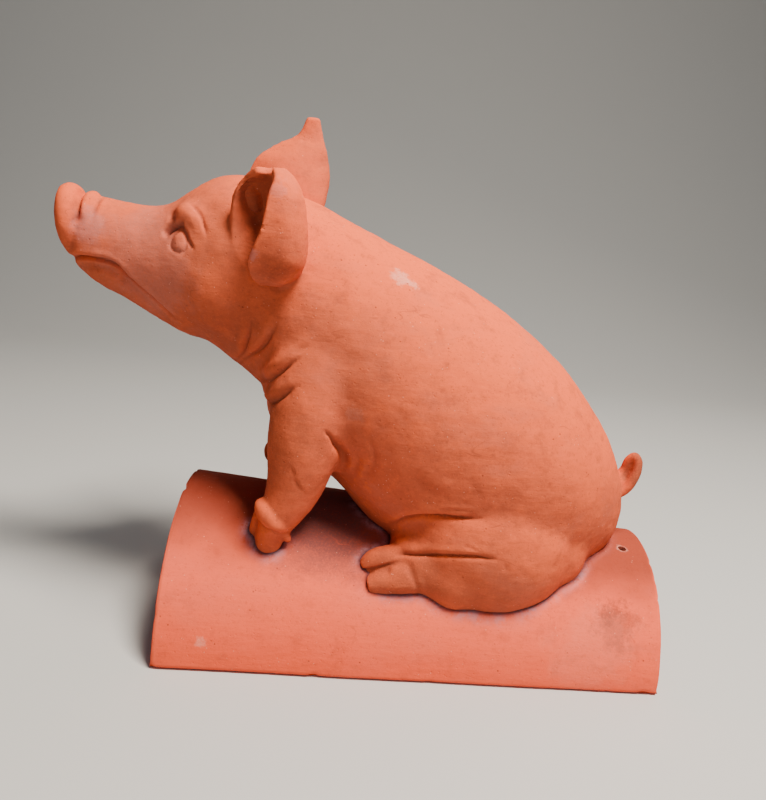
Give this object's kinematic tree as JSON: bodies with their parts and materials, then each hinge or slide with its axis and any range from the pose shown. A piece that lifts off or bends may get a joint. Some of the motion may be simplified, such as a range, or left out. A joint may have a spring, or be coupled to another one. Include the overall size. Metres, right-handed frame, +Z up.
{
  "type": "roof ornament",
  "caption": "Unglazed terracotta roof ornament: a seated pig with raised snout on a tapered half-round ridge tile.",
  "frame": {"origin": "under the middle of the bounding box, in the plane of the tile's two long bottom edges", "axes": "+X along the ridge, from the wide end, which the pig faces, to the narrow end; +Y across the ridge, to the pig's right; +Z up"},
  "size_m": [0.5746, 0.26, 0.4776],
  "materials": {
    "tile_terracotta": "matte unglazed terracotta, weathered",
    "pig_terracotta": "matte unglazed terracotta, hand modelled, weathered"
  },
  "bodies": {
    "root": {"ridge_tile": "tile_terracotta", "pig": "pig_terracotta"}
  },
  "joints": []
}
